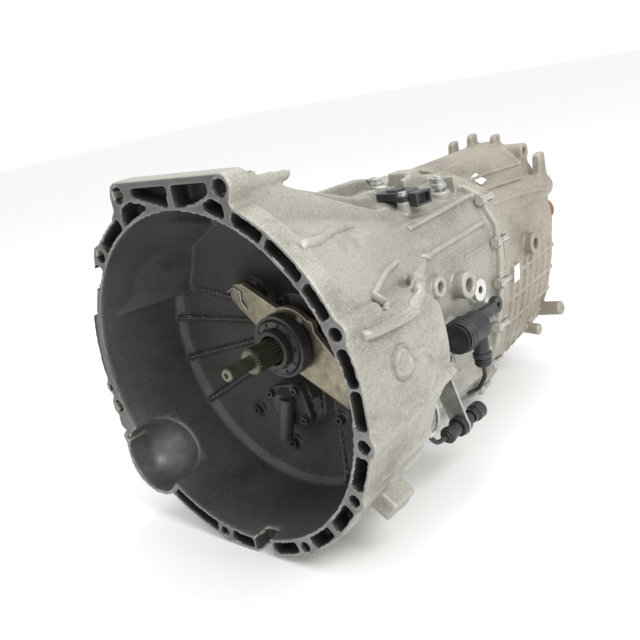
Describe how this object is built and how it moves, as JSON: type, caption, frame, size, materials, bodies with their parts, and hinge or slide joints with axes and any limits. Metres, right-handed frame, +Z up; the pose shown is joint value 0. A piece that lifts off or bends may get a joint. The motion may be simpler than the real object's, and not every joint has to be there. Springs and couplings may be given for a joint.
{
  "type": "manual transmission",
  "caption": "Longitudinal manual gearbox with an integral bell housing, clutch release lever, meshed constant-mesh gears, sliding selector forks and a three-arm output flange.",
  "frame": {"origin": "centre of the bell housing's engine face, on the input shaft's axis", "axes": "+Y along the shafts from the engine to the output flange, +Z up, +X to the side of the clutch's slave cylinder"},
  "size_m": [0.3906, 0.655, 0.4024],
  "materials": {
    "cast_front": "sand-cast, light grey, fine speckle",
    "cast_rear": "sand-cast, slightly browner grey",
    "machined": "turned",
    "gear_steel": "hardened and ground",
    "shaft_steel": "oiled steel",
    "zinc_steel": "zinc plated",
    "fork_steel": "pressed steel, yellow passivated",
    "black_metal": "black oxide",
    "rust_iron": "cast, with light surface rust",
    "brass": "turned",
    "black_plastic": "moulded, satin",
    "rubber": "matt"
  },
  "bodies": {
    "casing": {"front_case": "cast_front", "rear_case": "cast_rear", "guide_tube": "machined", "countershaft_cover": "cast_front", "bell_bolts": "zinc_steel", "case_joint_bolts": "zinc_steel", "screw_plugs": "zinc_steel", "shaft_seals": "rubber", "breather_cap": "zinc_steel", "position_sensor": "black_plastic", "position_sensor_screws": "zinc_steel", "reverse_light_switch": "black_plastic", "switch_plug": "black_plastic", "switch_lead": "rubber", "release_fork_stud": "zinc_steel", "slave_cylinder": "machined", "clutch_line": "black_metal", "line_bracket": "zinc_steel", "line_grommet": "rubber", "quick_coupling": "black_plastic", "coupling_dust_cap": "black_plastic", "bleed_pipe": "zinc_steel", "reverse_idler_shaft": "shaft_steel", "bearing_outer_races": "gear_steel", "fork_rails": "shaft_steel"},
    "countershaft": {"countershaft": "gear_steel", "countershaft_bearing_inner": "gear_steel"},
    "input": {"input_shaft": "shaft_steel", "input_bearing_inner": "gear_steel"},
    "output": {"output_shaft": "shaft_steel", "output_bearing_inner": "gear_steel", "output_flange": "rust_iron", "flange_nut": "zinc_steel", "synchro_hubs": "gear_steel", "synchro_rings": "brass"},
    "gear_6": {"gear_6": "gear_steel"},
    "gear_4": {"gear_4": "gear_steel"},
    "gear_3": {"gear_3": "gear_steel"},
    "gear_2": {"gear_2": "gear_steel"},
    "gear_1": {"gear_1": "gear_steel"},
    "gear_reverse": {"gear_reverse": "gear_steel"},
    "reverse_idler": {"reverse_idler": "gear_steel"},
    "sleeve_56": {"sleeve_56": "gear_steel"},
    "sleeve_34": {"sleeve_34": "gear_steel"},
    "sleeve_12": {"sleeve_12": "gear_steel"},
    "sleeve_r": {"sleeve_r": "gear_steel"},
    "fork_56": {"fork_56": "machined"},
    "fork_34": {"fork_34": "machined"},
    "fork_12": {"fork_12": "machined"},
    "fork_reverse": {"fork_reverse": "machined"},
    "interlock": {"selector_interlock": "gear_steel"},
    "selector": {"selector_rod": "shaft_steel", "selector_finger": "gear_steel", "selector_joint": "zinc_steel"},
    "release_lever": {"release_fork": "fork_steel", "fork_spring_clip": "zinc_steel"},
    "release_bearing": {"release_bearing_sleeve": "black_metal", "release_bearing_ring": "black_metal"},
    "pushrod": {"slave_pushrod": "zinc_steel"},
    "switch_plunger": {"switch_plunger": "zinc_steel"}
  },
  "joints": [
    {"name": "countershaft_spin", "type": "hinge", "parent": "casing", "child": "countershaft", "pos_m": [-0.02, 0, -0.08004], "axis": [0, 1, 0], "continuous": true},
    {"name": "input_spin", "type": "hinge", "parent": "casing", "child": "input", "pos_m": [0, 0, 0], "axis": [0, 1, 0], "continuous": true},
    {"name": "gear_6_spin", "type": "hinge", "parent": "casing", "child": "gear_6", "pos_m": [0, 0.241, 0], "axis": [0, 1, 0], "continuous": true},
    {"name": "gear_4_spin", "type": "hinge", "parent": "casing", "child": "gear_4", "pos_m": [0, 0.266, 0], "axis": [0, 1, 0], "continuous": true},
    {"name": "gear_3_spin", "type": "hinge", "parent": "casing", "child": "gear_3", "pos_m": [0, 0.325, 0], "axis": [0, 1, 0], "continuous": true},
    {"name": "gear_2_spin", "type": "hinge", "parent": "casing", "child": "gear_2", "pos_m": [0, 0.352, 0], "axis": [0, 1, 0], "continuous": true},
    {"name": "gear_1_spin", "type": "hinge", "parent": "casing", "child": "gear_1", "pos_m": [0, 0.415, 0], "axis": [0, 1, 0], "continuous": true},
    {"name": "gear_reverse_spin", "type": "hinge", "parent": "casing", "child": "gear_reverse", "pos_m": [0, 0.445, 0], "axis": [0, 1, 0], "continuous": true},
    {"name": "reverse_idler_spin", "type": "hinge", "parent": "casing", "child": "reverse_idler", "pos_m": [0.02604, 0, -0.07564], "axis": [0, 1, 0], "continuous": true},
    {"name": "output_spin", "type": "hinge", "parent": "casing", "child": "output", "pos_m": [0, 0.6, 0], "axis": [0, 1, 0], "continuous": true},
    {"name": "fork_12_slide", "type": "slide", "parent": "casing", "child": "fork_12", "axis": [0, 1, 0], "range_m": [-0.009, 0.009]},
    {"name": "fork_34_slide", "type": "slide", "parent": "casing", "child": "fork_34", "axis": [0, 1, 0], "range_m": [-0.009, 0.009]},
    {"name": "fork_56_slide", "type": "slide", "parent": "casing", "child": "fork_56", "axis": [0, 1, 0], "range_m": [-0.009, 0.009]},
    {"name": "fork_reverse_slide", "type": "slide", "parent": "casing", "child": "fork_reverse", "axis": [0, 1, 0], "range_m": [-0.009, 0]},
    {"name": "sleeve_12_slide", "type": "slide", "parent": "output", "child": "sleeve_12", "axis": [0, 1, 0], "range_m": [-0.009, 0.009]},
    {"name": "sleeve_34_slide", "type": "slide", "parent": "output", "child": "sleeve_34", "axis": [0, 1, 0], "range_m": [-0.009, 0.009]},
    {"name": "sleeve_56_slide", "type": "slide", "parent": "output", "child": "sleeve_56", "axis": [0, 1, 0], "range_m": [-0.009, 0.009]},
    {"name": "sleeve_r_slide", "type": "slide", "parent": "output", "child": "sleeve_r", "axis": [0, 1, 0], "range_m": [-0.009, 0]},
    {"name": "selector_turn", "type": "hinge", "parent": "casing", "child": "interlock", "pos_m": [0, 0.23, 0.092], "axis": [0, 1, 0], "range_deg": [-30, 30]},
    {"name": "selector_slide", "type": "slide", "parent": "interlock", "child": "selector", "axis": [0, 1, 0], "range_m": [-0.009, 0.009]},
    {"name": "release_lever_tilt", "type": "hinge", "parent": "casing", "child": "release_lever", "pos_m": [-0.066, 0.1245, 0.05], "axis": [-0.6141, 0, -0.7892], "range_deg": [0, 5.5]},
    {"name": "release_bearing_slide", "type": "slide", "parent": "casing", "child": "release_bearing", "axis": [0, -1, 0], "range_m": [0, 0.008]},
    {"name": "pushrod_slide", "type": "slide", "parent": "casing", "child": "pushrod", "axis": [0, -1, 0], "range_m": [0, 0.0176]},
    {"name": "switch_plunger_press", "type": "slide", "parent": "casing", "child": "switch_plunger", "axis": [1, 0, 0], "range_m": [0, 0.0025], "stiffness_N_per_m": 400, "springref_m": -0.001}
  ],
  "couplings": [
    {"joint": "input_spin", "follows": "countershaft_spin", "ratio": -1.5385},
    {"joint": "gear_6_spin", "follows": "countershaft_spin", "ratio": -2},
    {"joint": "gear_4_spin", "follows": "countershaft_spin", "ratio": -1.2},
    {"joint": "gear_3_spin", "follows": "countershaft_spin", "ratio": -0.88571},
    {"joint": "gear_2_spin", "follows": "countershaft_spin", "ratio": -0.60976},
    {"joint": "gear_1_spin", "follows": "countershaft_spin", "ratio": -0.375},
    {"joint": "reverse_idler_spin", "follows": "countershaft_spin", "ratio": -0.85},
    {"joint": "gear_reverse_spin", "follows": "countershaft_spin", "ratio": 0.38636},
    {"joint": "sleeve_12_slide", "follows": "fork_12_slide", "ratio": 1},
    {"joint": "sleeve_34_slide", "follows": "fork_34_slide", "ratio": 1},
    {"joint": "sleeve_56_slide", "follows": "fork_56_slide", "ratio": 1},
    {"joint": "sleeve_r_slide", "follows": "fork_reverse_slide", "ratio": 1},
    {"joint": "release_bearing_slide", "follows": "release_lever_tilt", "m_per_rad": 0.0828},
    {"joint": "pushrod_slide", "follows": "release_lever_tilt", "m_per_rad": 0.1824}
  ]
}
